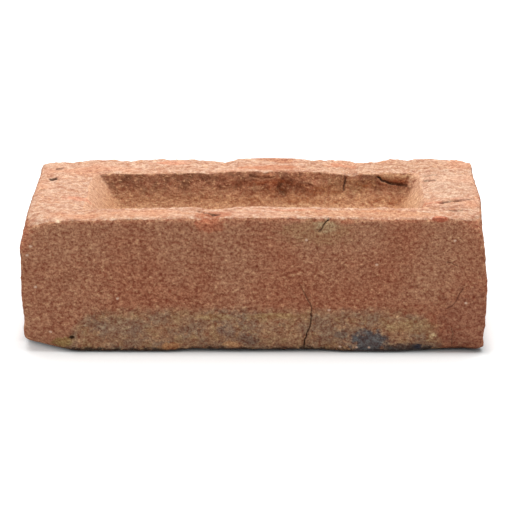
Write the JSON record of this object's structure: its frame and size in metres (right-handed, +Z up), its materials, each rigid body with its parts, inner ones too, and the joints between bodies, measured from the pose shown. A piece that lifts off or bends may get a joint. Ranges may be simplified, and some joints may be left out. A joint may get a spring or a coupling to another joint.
{
  "type": "facing brick",
  "caption": "Frogged clay facing brick, soft-mud moulded, with a sanded red-brown face, a rolled rim around the frog and worn corners.",
  "frame": {"origin": "centre of the lower bed, which rests on the ground", "axes": "+X along the length, +Y from the facing stretcher side to the back, +Z up through the frogged bed"},
  "size_m": [0.215, 0.1024, 0.065],
  "materials": {
    "fired_clay": "matt, sanded fired clay, red-brown on the sides and paler where it was struck"
  },
  "bodies": {
    "root": {"brick": "fired_clay"}
  },
  "joints": []
}
